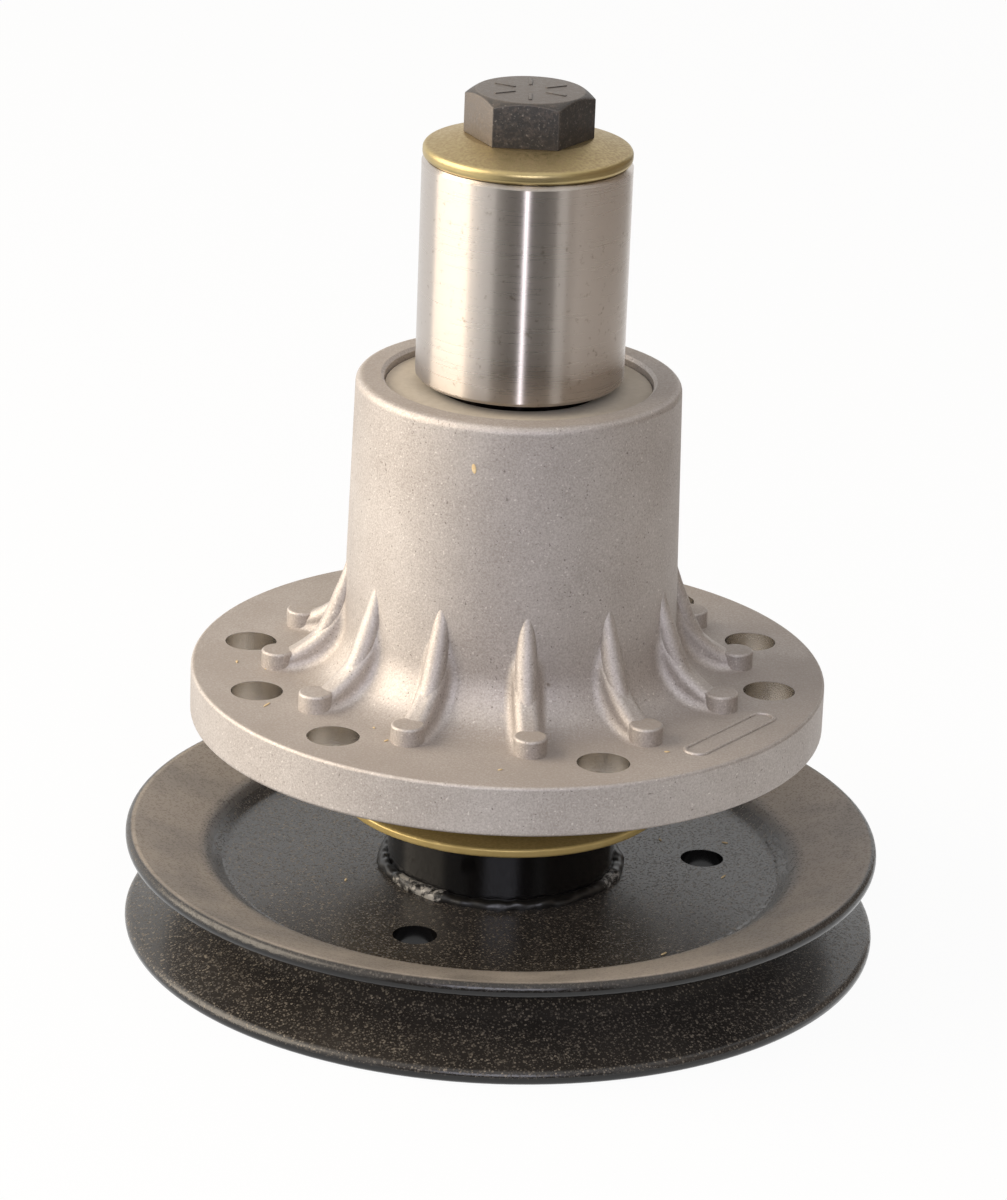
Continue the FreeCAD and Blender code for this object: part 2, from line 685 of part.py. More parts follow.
def blade_spacer():
    foot = f"({BLADE_BEARING} + dims.bearing_width)"
    body = new_body("blade_spacer", foot)
    body_r = "dims.spacer_d / 2"
    shoulder = f"({SPACER_FOOT} - {foot})"
    top = f"({SPACER_TOP} - {foot})"
    revolve(body, "turning", [
        (SLIP_BORE_R, "0"), (NOSE_R, "0"), (NOSE_R, shoulder), (body_r, shoulder),
        (body_r, top), (SLIP_BORE_R, top),
    ])
    chamfer_edges(body, "edges", is_ring((body_r, shoulder), (body_r, top)), "dims.spacer_edge")


def blade_washer():
    # A dished spring washer: it bears on the spacer at its rim and carries the head on its flat.
    body = new_body("blade_washer", SPACER_TOP)
    edge_r = "dims.blade_washer_d / 2"
    flat_r = "dims.blade_washer_flat_d / 2"
    bore_r = "dims.blade_bolt_d / 2 + dims.running_gap"
    rise = "dims.blade_washer_rise"
    tilt = f"atan({rise} / ({edge_r} - {flat_r}))"
    foot = f"-({round_loss('dims.blade_washer_round', tilt)})"
    brim = f"{foot} + dims.blade_washer_gauge"
    revolve(body, "disc", [
        (bore_r, rise), (flat_r, rise), (edge_r, foot), (edge_r, brim),
        (flat_r, WASHER_HEIGHT), (bore_r, WASHER_HEIGHT),
    ])
    round_edges(body, "rim", is_ring((edge_r, foot), (edge_r, brim)), "dims.blade_washer_round")


def blade_bolt():
    body = new_body("blade_bolt", HEAD_SEAT)
    turn(body, "dims.blade_head_turn")
    flats = "dims.blade_head_flats"
    pad(body, "head", hexagon(body, "head_outline", flats), "dims.blade_head_height")
    crown_cut(body, "crown", flats, "dims.blade_head_height", "1")
    shank_r = "dims.blade_bolt_d / 2"
    revolve(body, "shank", [
        ("0", "0"), (shank_r, "0"), (shank_r, "dims.shaft_edge - dims.blade_bolt_length"),
        (f"{shank_r} - dims.shaft_edge", "-dims.blade_bolt_length"),
        ("0", "-dims.blade_bolt_length"),
    ])


blade_spacer()
blade_washer()
blade_bolt()


# Shaft and the fasteners at the pulley end

KEY_FOOT = f"({NUT_SEAT} + dims.thread_relief + dims.key_width)"


def spindle_shaft():
    body = new_body("spindle_shaft", "dims.shaft_end_height")
    thread_r = "dims.thread_d / 2"
    step = f"({NUT_SEAT} + dims.thread_relief - dims.shaft_end_height)"
    top = f"({SHAFT_TOP} - dims.shaft_end_height)"
    edge = "dims.shaft_edge"
    tap_r = "dims.blade_bolt_d / 2 + dims.slip"
    tap_foot = f"({HEAD_SEAT} - dims.blade_bolt_length - dims.tap_over - dims.shaft_end_height)"
    tip = f"{tap_foot} - ({tap_r}) * tan(dims.drill_tip_angle)"
    revolve(body, "turning", [
        ("0", "0"), (f"{thread_r} - {edge}", "0"), (thread_r, edge), (thread_r, step),
        (SHAFT_R, step), (SHAFT_R, f"{top} - {edge}"), (f"{SHAFT_R} - {edge}", top),
        (tap_r, top), (tap_r, tap_foot), ("0", tip),
    ])
    sketch = new_sketch(body, "keyway", "XY_Plane")
    sketch.setExpression("AttachmentOffset.Base.z", f"{KEY_FOOT} - dims.shaft_end_height")
    half_key = "dims.key_width / 2"
    floor_r = f"{SHAFT_R} - dims.key_width / 2"
    clear_r = f"{SHAFT_R} + dims.key_width"
    add_loop(sketch, [
        (floor_r, f"-({half_key})"), (clear_r, f"-({half_key})"), (clear_r, half_key),
        (floor_r, half_key),
    ])
    slot = body.newObject("PartDesign::Pocket", "shaft_keyway")
    slot.Profile = sketch
    slot.setExpression("Length", "dims.key_length")
    slot.Reversed = True
    doc.recompute()


def shaft_key():
    key = doc.addObject("Part::Box", "shaft_key")
    key.Label = "shaft_key"
    key.setExpression("Length", "dims.key_width")
    key.setExpression("Width", "dims.key_width")
    key.setExpression("Height", "dims.key_length")
    key.setExpression("Placement.Base.x", f"{SHAFT_R} - dims.key_width / 2")
    key.setExpression("Placement.Base.y", "-dims.key_width / 2")
    key.setExpression("Placement.Base.z", KEY_FOOT)
    sub_parts.append(key)


def pulley_washer():
    body = new_body("pulley_washer", f"{NUT_SEAT} - dims.flat_washer_thick")
    revolve(body, "disc", ring_loop(
        "dims.thread_d / 2 + dims.running_gap", "dims.flat_washer_d / 2", "0",
        "dims.flat_washer_thick"))


def pulley_nut():
    body = new_body("pulley_nut", NUT_FOOT)
    turn(body, "dims.nut_turn")
    flats = "dims.nut_flats"
    pad(body, "hexagon", hexagon(body, "outline", flats), "dims.nut_height")
    crown_cut(body, "top_crown", flats, "dims.nut_height", "1")
    crown_cut(body, "foot_crown", flats, "0", "-1")
    sketch = new_sketch(body, "thread_bore", "XY_Plane")
    add_circle(sketch, ("0", "0"), "dims.thread_d / 2 + dims.slip")
    pocket_through(body, "bore", sketch)


spindle_shaft()
shaft_key()
pulley_washer()
pulley_nut()
doc.recompute()

failed = [o.Name for o in doc.Objects if "Invalid" in o.State or "Error" in o.State]
failed += [o.Label for o in sub_parts if o.Shape.isNull() or not o.Shape.isValid()]
if failed:
    raise RuntimeError("these objects failed: " + ", ".join(failed))

os.makedirs("parts", exist_ok=True)
for sub_part in sub_parts:
    sub_part.Shape.exportStep(f"parts/{sub_part.Label}.step")
    print(f"{sub_part.Label}: {len(sub_part.Shape.Solids)} solids, {sub_part.Shape.Volume:.0f} mm3")
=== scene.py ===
import math
import random

import bpy
from mathutils import Matrix, Vector


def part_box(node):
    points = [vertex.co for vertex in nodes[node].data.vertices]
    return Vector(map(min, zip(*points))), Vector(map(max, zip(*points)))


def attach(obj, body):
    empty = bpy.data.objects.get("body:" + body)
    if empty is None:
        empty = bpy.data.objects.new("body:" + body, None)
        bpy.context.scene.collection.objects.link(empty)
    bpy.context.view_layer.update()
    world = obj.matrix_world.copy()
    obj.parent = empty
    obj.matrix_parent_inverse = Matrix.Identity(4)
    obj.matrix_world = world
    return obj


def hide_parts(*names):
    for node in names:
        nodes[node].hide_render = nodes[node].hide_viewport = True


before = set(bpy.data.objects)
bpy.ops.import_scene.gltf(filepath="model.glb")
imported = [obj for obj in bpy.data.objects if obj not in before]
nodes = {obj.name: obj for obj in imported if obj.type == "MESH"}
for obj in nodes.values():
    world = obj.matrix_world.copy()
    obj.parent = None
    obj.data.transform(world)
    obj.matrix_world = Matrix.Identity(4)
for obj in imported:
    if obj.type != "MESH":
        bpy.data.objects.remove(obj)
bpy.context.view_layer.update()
scene = bpy.context.scene
scene.view_settings.view_transform = "Standard"
print("frame loaded:", len(nodes), "nodes")


# small helpers

def mm(length):
    return length / 1000


def perMm(size):
    # scale of a pattern whose features are that many millimetres across, on Object coordinates
    return 1000 / size


def onCircle(radius, angle, height):
    turn = math.radians(angle)
    return Vector((mm(radius) * math.cos(turn), mm(radius) * math.sin(turn), mm(height)))


def colour(hexText):
    channels = [int(hexText[i:i + 2], 16) / 255 for i in (0, 2, 4)]
    return [c / 12.92 if c <= 0.04045 else ((c + 0.055) / 1.055) ** 2.4 for c in channels] + [1.0]


def setSocket(tree, node, name, value):
    # a node stands for its first live output, a text for its colour
    if isinstance(value, bpy.types.Node):
        value = next(output for output in value.outputs if output.enabled)
    if isinstance(value, bpy.types.NodeSocket):
        tree.links.new(value, node.inputs[name])
    else:
        node.inputs[name].default_value = colour(value) if isinstance(value, str) else value


def setSockets(tree, node, sockets):
    # a pair of names takes a pair of values
    for name, value in sockets.items():
        if isinstance(name, tuple):
            setSockets(tree, node, dict(zip(name, value)))
        else:
            setSocket(tree, node, name, value)


def addNode(tree, kind, sockets=None, **settings):
    made = tree.nodes.new("ShaderNode" + kind)
    for name, value in settings.items():
        setattr(made, name, value)
    setSockets(tree, made, sockets or {})
    return made


fromSpan = ("From Min", "From Max")
toSpan = ("To Min", "To Max")
noiseSpan = (0.3, 0.7)  # most of a noise lies here


def newFinish(name, sockets=None):
    # a material with its tree, its shader and Object coordinates
    finish = bpy.data.materials.new(name)
    finish.use_nodes = True
    tree = finish.node_tree
    shader = tree.nodes["Principled BSDF"]
    setSockets(tree, shader, sockets or {})
    return finish, tree, shader, addNode(tree, "TexCoord").outputs["Object"]


def upTilt(tree):
    # 0 on an upright surface, 1 on one that faces up
    facing = addNode(tree, "NewGeometry").outputs["Normal"]
    return addNode(tree, "SeparateXYZ", {0: facing}).outputs["Z"]


def upShare(tree, tilts):
    # 0 to 1 as a surface turns from the first tilt to the second
    return addNode(tree, "MapRange", {"Value": upTilt(tree), fromSpan: tilts})


def axisRadius(tree, place):
    # distance from the spin axis
    flat = addNode(tree, "VectorMath", {0: place, 1: (1, 1, 0)}, operation="MULTIPLY")
    return addNode(tree, "VectorMath", {0: flat}, operation="LENGTH")


def dress(nodeName, finish):
    slots = nodes[nodeName].data.materials
    slots.clear()
    slots.append(finish)


def clearSelection():
    bpy.ops.object.select_all(action="DESELECT")


def applyModifiers(piece):
    bpy.context.view_layer.objects.active = piece
    for name in [modifier.name for modifier in piece.modifiers]:
        bpy.ops.object.modifier_apply(modifier=name)


def cutWith(piece, tool, operation):
    cut = piece.modifiers.new("cut", "BOOLEAN")
    cut.operation = operation
    cut.solver = "EXACT"
    cut.object = tool
    applyModifiers(piece)
    bpy.data.objects.remove(tool)


def softenEdges(piece, width, segments, angle=30, finishIndex=-1):
    soft = piece.modifiers.new("softEdge", "BEVEL")
    soft.width = mm(width)
    soft.segments = segments
    soft.limit_method = "ANGLE"
    soft.angle_limit = math.radians(angle)
    soft.material = finishIndex
    applyModifiers(piece)


def joinPieces(pieces, name):
    clearSelection()
    for piece in pieces:
        piece.select_set(True)
    bpy.context.view_layer.objects.active = pieces[0]
    if len(pieces) > 1:
        bpy.ops.object.join()
    whole = bpy.context.view_layer.objects.active
    bpy.ops.object.transform_apply(location=True, rotation=True, scale=True)
    whole.name = name
    whole.data.name = name
    return whole


# camera: stands at the blade side, a little above, tipped by two degrees as the picture is
cameraSet = {"azimuth": -21.0, "elevation": 20.46, "distance": 1050.0, "roll": 2.225,
             "aim": (-1.407, 0.540, 76.175), "pixelFocal": 4855.3, "longSide": 1200, "sensor": 36.0}

azimuth, elevation, roll = (math.radians(cameraSet[name]) for name in ("azimuth", "elevation", "roll"))
toEye = Vector((math.sin(azimuth) * math.cos(elevation), -math.cos(azimuth) * math.cos(elevation),
                math.sin(elevation)))
level = Vector((math.cos(azimuth), math.sin(azimuth), 0))  # to the right of the picture
overhead = toEye.cross(level)
across = math.cos(roll) * level + math.sin(roll) * overhead
upward = math.cos(roll) * overhead - math.sin(roll) * level
ahead = Vector((toEye.x, toEye.y, 0)).normalized()  # level, from the spindle to the camera
aim = Vector(mm(v) for v in cameraSet["aim"])
clearSelection()
bpy.ops.object.camera_add()
camera = bpy.context.object
camera.matrix_world = Matrix.LocRotScale(
    aim + mm(cameraSet["distance"]) * toEye, Matrix((across, upward, toEye)).transposed(), None)
camera.data.sensor_width = cameraSet["sensor"]
camera.data.lens = cameraSet["pixelFocal"] * cameraSet["sensor"] / cameraSet["longSide"]
scene.camera = camera
print("camera placed")


# studio, in metres to the right, to the front and up from the spindle: a window of soft warm light on the
# left, a soft fill by the camera, a small flash that only draws the thin glint on the spacer, a pale floor
studioSet = {
    "window": {"at": (-1.20, 0.08, 0.62), "size": (1.25, 1.2), "power": 23, "tint": "FFF0DA"},
    "flash": {"at": (0.02, 1.02, 0.25), "size": (0.03, 0.12), "power": 1.3, "tint": "F2F2FF",
              "link": "INCLUDE", "pieces": ("blade_spacer",)},
    "fill": {"at": (0.02, 1.02, 0.52), "size": (0.6, 0.5), "power": 5.0, "tint": "F2F2FF",
             "link": "EXCLUDE", "pieces": ("blade_spacer",)},
    "lampAim": (0, 0, 0.09), "ambient": 0.41, "airTint": "FFF8F0", "white": "FFFFFF",
    "floorSize": 12, "floorTint": "F2F1EE", "floorRoughness": 0.9, "floorWhiten": 0.95,
}


def studioSpot(side, front, height):
    return side * level + front * ahead + Vector((0, 0, height))


def addLamp(name, plan):
    spot = studioSpot(*plan["at"])
    clearSelection()
    bpy.ops.object.light_add(type="AREA", location=spot)
    lamp = bpy.context.object
    lamp.name = name
    lamp.rotation_euler = (Vector(studioSet["lampAim"]) - spot).to_track_quat("-Z", "Y").to_euler()
    lamp.data.shape = "RECTANGLE"
    lamp.data.size, lamp.data.size_y = plan["size"]
    lamp.data.energy = plan["power"]
    lamp.data.color = colour(plan["tint"])[:3]
    if "link" in plan:
        lit = bpy.data.collections.new(name + "Pieces")
        for nodeName in plan["pieces"]:
            lit.objects.link(nodes[nodeName])
        for entry in lit.collection_objects:
            entry.light_linking.link_state = plan["link"]
        lamp.light_linking.receiver_collection = lit


def seenRays(tree):
    # 1 for rays that come from the eye, from a reflection or through glass
    path = addNode(tree, "LightPath")
    some = addNode(tree, "Math", {0: path.outputs["Is Camera Ray"], 1: path.outputs["Is Glossy Ray"]},
                   operation="ADD", use_clamp=True)
    return addNode(tree, "Math", {0: some, 1: path.outputs["Is Transmission Ray"]},
                   operation="ADD", use_clamp=True)


def fillAir(plan):
    # lights the object gently, looks white to the eye
    world = bpy.data.worlds.new("studioAir")
    scene.world = world
    world.use_nodes = True
    tree = world.node_tree
    tree.nodes.clear()
    light = addNode(tree, "Background", {"Color": plan["airTint"], "Strength": plan["ambient"]})
    white = addNode(tree, "Background", {"Color": plan["white"], "Strength": 1.0})
    mix = addNode(tree, "MixShader", {0: seenRays(tree), 1: light, 2: white})
    addNode(tree, "OutputWorld", {"Surface": mix})


def layFloor(plan):
    # Matt paper: pale and even, nearly white to the eye, with a trace of the shadows on it
    clearSelection()
    bpy.ops.mesh.primitive_plane_add(size=plan["floorSize"])
    floor = bpy.context.object
    floor.name = "paleFloor"
    finish, tree, shader = newFinish("matt_paper_floor", {
        "Base Color": plan["floorTint"], "Roughness": plan["floorRoughness"], "Specular IOR Level": 0.0})[:3]
    white = addNode(tree, "Emission", {"Color": plan["white"], "Strength": 1.0})
    share = addNode(tree, "Math", {0: seenRays(tree), 1: plan["floorWhiten"]}, operation="MULTIPLY")
    mix = addNode(tree, "MixShader", {0: share, 1: shader, 2: white})
    setSockets(tree, tree.nodes["Material Output"], {"Surface": mix})
    floor.data.materials.append(finish)


for lampName in ("window", "flash", "fill"):
    addLamp(lampName, studioSet[lampName])
fillAir(studioSet)
layFloor(studioSet)

# cards of matt felt that only reflections see, so that bright metal gets its dark bands as it would in a room
cardSet = {"roughness": 0.95, "cards": (
    {"name": "frontFloorCard", "at": (0.03, 0.60, 0.003), "size": (0.62, 0.8), "tint": "2A2826"},
    {"name": "frontCard", "at": (0.04, 1.30, 0.80), "size": (1.7, 1.6), "stand": 90, "tint": "2A2826"},
    {"name": "rightFloorCard", "at": (0.85, -0.40, 0.002), "size": (1.0, 3.2), "tint": "A8A099"},
    {"name": "rightCard", "at": (1.35, -0.40, 0.80), "size": (3.4, 1.6), "stand": 90, "turn": 90,
     "tint": "A8A099"},
)}


def addCard(plan, roughness):
    clearSelection()
    bpy.ops.mesh.primitive_plane_add(size=1)
    card = bpy.context.object
    card.name = plan["name"]
    lie = Matrix((level, -ahead, Vector((0, 0, 1)))).transposed()
    turn = Matrix.Rotation(math.radians(plan.get("turn", 0)), 3, "Z")
    tip = Matrix.Rotation(math.radians(plan.get("stand", 0)), 3, "X")
    card.matrix_world = Matrix.LocRotScale(
        studioSpot(*plan["at"]), lie @ turn @ tip, Vector((*plan["size"], 1)))
    felt = newFinish("felt_" + plan["name"], {"Base Color": plan["tint"], "Roughness": roughness})[0]
    card.data.materials.append(felt)
    card.visible_camera = False
    card.visible_diffuse = False
    card.visible_shadow = False


for cardPlan in cardSet["cards"]:
    addCard(cardPlan, cardSet["roughness"])
print("studio set")


# finishes, sizes in millimetres: a span is where a pattern starts and where it is full, a tilt is how far a
# surface faces up

# Die-cast aluminium, blasted: a soft grey metal with a fine grain, a few bright flecks and dark pits, brown
# dust on what faces up, and bright bored walls in the bolt holes. The grain is drawn coarser than it is, or
# it would not show
castSet = {
    "metal": "CEC8C3", "shade": "B0A8A2", "fleck": "EFEBE5", "pit": "6E6660", "dust": "A39A92",
    "bored": "E2DCD4", "grain": 0.42, "cloud": 24.0, "cloudShare": 0.5, "mottleSpan": (0.56, 0.94),
    "fleckGap": 0.55, "fleckSpan": (0.74, 0.84), "fleckMost": 0.5, "pitSpan": (0.235, 0.16), "pitMost": 0.6,
    "dustTilt": (0.78, 0.985), "dustCover": (0.95, 0.45), "dustMetallic": 0.25, "dustRoughness": 0.2,
    "roughness": 0.64, "boredRoughness": -0.42, "bump": 0.3, "bumpDepth": 0.25,
    "boltCircle": 57.15, "boltReach": 6.1, "flangeTop": 60.9, "wallTilt": 0.3,
}


def mixCast(look):
    finish, tree, shader, place = newFinish("die_cast_aluminium")
    grain = addNode(tree, "TexNoise", {
        "Vector": place, "Scale": perMm(look["grain"]), "Detail": 3.0, "Roughness": 0.7})
    cloud = addNode(tree, "TexNoise", {
        "Vector": place, "Scale": perMm(look["cloud"]), "Detail": 5.0, "Roughness": 0.6})
    flecks = addNode(tree, "TexNoise", {"Vector": place, "Scale": perMm(look["fleckGap"]), "Detail": 0.0})
    mottle = addNode(tree, "Math", {0: cloud, 1: look["cloudShare"], 2: grain}, operation="MULTIPLY_ADD")
    mottleShare = addNode(tree, "MapRange", {"Value": mottle, fromSpan: look["mottleSpan"]})
    metal = addNode(tree, "Mix", {0: mottleShare, 6: look["shade"], 7: look["metal"]}, data_type="RGBA")
    fleckShare = addNode(tree, "MapRange", {
        "Value": flecks, fromSpan: look["fleckSpan"], "To Max": look["fleckMost"]})
    flecked = addNode(tree, "Mix", {0: fleckShare, 6: metal, 7: look["fleck"]}, data_type="RGBA")
    pitShare = addNode(tree, "MapRange", {
        "Value": flecks, fromSpan: look["pitSpan"], "To Max": look["pitMost"]})
    pitted = addNode(tree, "Mix", {0: pitShare, 6: flecked, 7: look["pit"]}, data_type="RGBA")
    dustLayer = addNode(tree, "MapRange", {
        "Value": mottle, fromSpan: look["mottleSpan"], toSpan: look["dustCover"]})
    dustShare = addNode(tree, "Math", {0: upShare(tree, look["dustTilt"]), 1: dustLayer},
                        operation="MULTIPLY")
    dusty = addNode(tree, "Mix", {0: dustShare, 6: pitted, 7: look["dust"]}, data_type="RGBA")
    # walls of the bolt holes: upright, near the bolt circle, below the flange's top
    inRing = addNode(tree, "Math", {
        0: axisRadius(tree, place), 1: mm(look["boltCircle"]), 2: mm(look["boltReach"])}, operation="COMPARE")
    wall = addNode(tree, "Math", {0: upTilt(tree), 1: 0.0, 2: look["wallTilt"]}, operation="COMPARE")
    height = addNode(tree, "SeparateXYZ", {0: place}).outputs["Z"]
    inFlange = addNode(tree, "Math", {0: height, 1: mm(look["flangeTop"])}, operation="LESS_THAN")
    inHole = addNode(tree, "Math", {0: inRing, 1: wall}, operation="MULTIPLY")
    bored = addNode(tree, "Math", {0: inHole, 1: inFlange}, operation="MULTIPLY")
    skin = addNode(tree, "Mix", {0: bored, 6: dusty, 7: look["bored"]}, data_type="RGBA")
    bare = addNode(tree, "MapRange", {"Value": dustShare, toSpan: (1.0, look["dustMetallic"])})
    matt = addNode(tree, "Math", {0: dustShare, 1: look["dustRoughness"], 2: look["roughness"]},
                   operation="MULTIPLY_ADD")
    rough = addNode(tree, "Math", {0: bored, 1: look["boredRoughness"], 2: matt}, operation="MULTIPLY_ADD")
    bump = addNode(tree, "Bump", {
        "Height": grain, "Strength": look["bump"], "Distance": mm(look["bumpDepth"])})
    setSockets(tree, shader, {"Base Color": skin, "Metallic": bare, "Roughness": rough, "Normal": bump})
    return finish


castFinish = mixCast(castSet)
dress("spindle_housing", castFinish)

# Ground mild steel: rings of fine grinding lines draw each light into a streak along the bar; its neck in the
# seal is painted near black, a painted shade for the dark gap between spacer and seal. The lines are drawn
# coarser than they are, or they would not show
groundSet = {
    "steel": "CBC2BA", "stain": "8F8070", "neckShade": "1C1917", "neck": 20.5,
    "line": 0.35, "lineLength": 25.0, "spot": 1.6, "spotSpan": (0.6, 0.72), "spotMost": 0.6,
    "roughness": (0.265, 0.315), "bump": 0.03, "bumpDepth": 0.05,
}


def mixGround(look):
    finish, tree, shader, place = newFinish("ground_mild_steel", {
        "Metallic": 1.0, "Anisotropic": 1.0, "Anisotropic Rotation": 0.25})
    along = perMm(look["lineLength"])
    rings = addNode(tree, "Mapping", {"Vector": place, "Scale": (along, along, perMm(look["line"]))})
    lines = addNode(tree, "TexNoise", {"Vector": rings, "Scale": 1.0, "Detail": 2.0})
    spots = addNode(tree, "TexNoise", {
        "Vector": place, "Scale": perMm(look["spot"]), "Detail": 4.0, "Roughness": 0.7})
    spotShare = addNode(tree, "MapRange", {
        "Value": spots, fromSpan: look["spotSpan"], "To Max": look["spotMost"]})
    steel = addNode(tree, "Mix", {0: spotShare, 6: look["steel"], 7: look["stain"]}, data_type="RGBA")
    # painted shade: inside this radius the neck is coloured near black for the dark gap over the seal
    neck = addNode(tree, "Math", {0: axisRadius(tree, place), 1: mm(look["neck"])}, operation="LESS_THAN")
    neckShaded = addNode(tree, "Mix", {0: neck, 6: steel, 7: look["neckShade"]}, data_type="RGBA")
    rough = addNode(tree, "MapRange", {"Value": lines, fromSpan: noiseSpan, toSpan: look["roughness"]})
    bump = addNode(tree, "Bump", {
        "Height": lines, "Strength": look["bump"], "Distance": mm(look["bumpDepth"])})
    around = addNode(tree, "Tangent", direction_type="RADIAL", axis="Z")
    setSockets(tree, shader, {"Base Color": neckShaded, "Roughness": rough, "Normal": bump, "Tangent": around})
    return finish


dress("blade_spacer", mixGround(groundSet))

# Yellow-passivated zinc plate: a satin metal, straw-gold on the washer under pale brown dust, dark olive on
# the shield that the flange shades
zincSet = {
    "cloud": 7.0, "speck": 0.7, "speckSpan": (0.35, 0.65), "dustTilt": (0.7, 0.98), "dustRoughness": 0.25,
    "kinds": (
        {"name": "dusty_yellow_zinc", "node": "blade_washer", "gold": "C8B68A", "olive": "A4925F",
         "dust": "9C8769", "dustCover": (0.2, 0.85), "roughness": 0.38, "metallic": 1.0},
        {"name": "olive_yellow_zinc", "node": "dust_shield", "gold": "E2CB8C", "olive": "C0A763",
         "dust": "A8945F", "dustCover": (0.1, 0.5), "roughness": 0.4, "metallic": 0.5},
    ),
}


def mixZinc(look, kind):
    finish, tree, shader, place = newFinish(kind["name"], {"Metallic": kind["metallic"]})
    cloud = addNode(tree, "TexNoise", {
        "Vector": place, "Scale": perMm(look["cloud"]), "Detail": 5.0, "Roughness": 0.65})
    fine = addNode(tree, "TexNoise", {"Vector": place, "Scale": perMm(look["speck"]), "Detail": 3.0})
    gold = addNode(tree, "Mix", {0: cloud, 6: kind["gold"], 7: kind["olive"]}, data_type="RGBA")
    speck = addNode(tree, "MapRange", {
        "Value": fine, fromSpan: look["speckSpan"], toSpan: kind["dustCover"]})
    dustShare = addNode(tree, "Math", {0: upShare(tree, look["dustTilt"]), 1: speck}, operation="MULTIPLY")
    dusty = addNode(tree, "Mix", {0: dustShare, 6: gold, 7: kind["dust"]}, data_type="RGBA")
    rough = addNode(tree, "MapRange", {
        "Value": dustShare, toSpan: (kind["roughness"], kind["roughness"] + look["dustRoughness"])})
    setSockets(tree, shader, {"Base Color": dusty, "Roughness": rough})
    return finish


for kind in zincSet["kinds"]:
    dress(kind["node"], mixZinc(zincSet, kind))

# Black gloss enamel on pressed steel: near mirror at a low angle, under fine brown grit, with a taupe dust
# film on the upper flare that stops at its rolled lip
enamelSet = {
    "black": "0C0B0B", "film": "A49B91", "grit": ("302D29", "544E46", "80786C"), "gritMiddle": 0.6,
    "fineGrit": {"size": 0.48, "chance": (0.0, 1.0), "reach": 0.68},
    "coarseGrit": {"size": 1.7, "chance": (0.7, 1.0), "reach": 0.17},
    "layTilt": (0.1, 0.5), "cloud": 22.0, "filmCover": (0.08, 0.97), "filmSwing": (0.6, 1.25),
    "flareRadius": (63.0, 67.0), "flareHeight": (15.0, 17.0), "lipTurn": (0.05, 0.4), "flareGrit": 0.25,
    "gloss": 0.14, "settledRoughness": 0.08, "filmRoughness": 0.45, "gritRoughness": 0.22,
    "bump": 0.25, "bumpDepth": 0.1,
}


